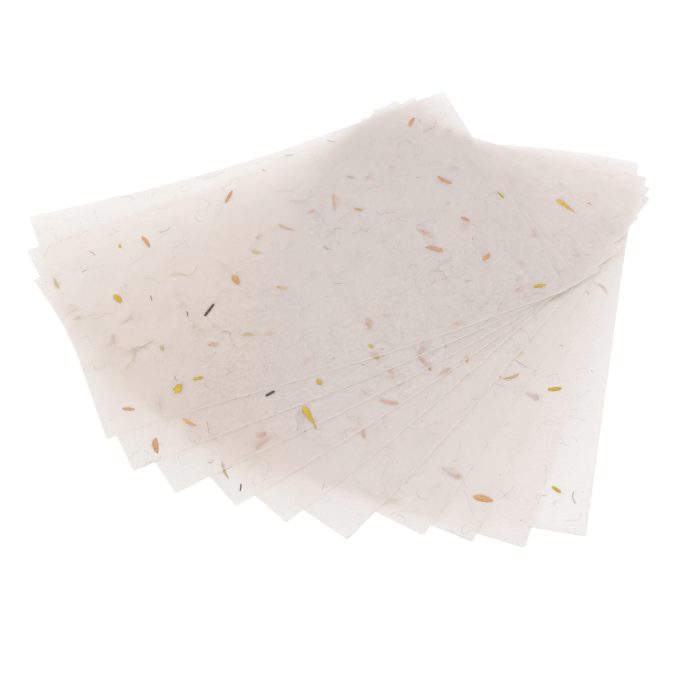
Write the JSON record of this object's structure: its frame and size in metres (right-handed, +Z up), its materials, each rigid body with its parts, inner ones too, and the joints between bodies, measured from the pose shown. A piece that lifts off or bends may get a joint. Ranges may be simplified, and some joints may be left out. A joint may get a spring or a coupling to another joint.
{
  "type": "fanned stack of petal paper sheets",
  "caption": "Fan of thin, translucent rectangular handmade paper sheets with petals, stems and plant fibres in the pulp, each turned a little further about one shared corner.",
  "frame": {"origin": "on the table, under the middle of the fan's box in plan", "axes": "+Z is up; +X runs from the free ends of the upper sheets towards the corner that all the sheets share; -Y is the side that the lower sheets fan out to"},
  "size_m": [0.4123, 0.3774, 0.0191],
  "materials": {
    "petal_paper": "matt, translucent, unbleached white plant-fibre paper with yellow and orange petals, thin brown stems and hair-fine fibres in it"
  },
  "bodies": {
    "root": {"sheet_01": "petal_paper", "sheet_02": "petal_paper", "sheet_03": "petal_paper", "sheet_04": "petal_paper", "sheet_05": "petal_paper", "sheet_06": "petal_paper", "sheet_07": "petal_paper", "sheet_08": "petal_paper", "sheet_09": "petal_paper", "sheet_10": "petal_paper"}
  },
  "joints": []
}
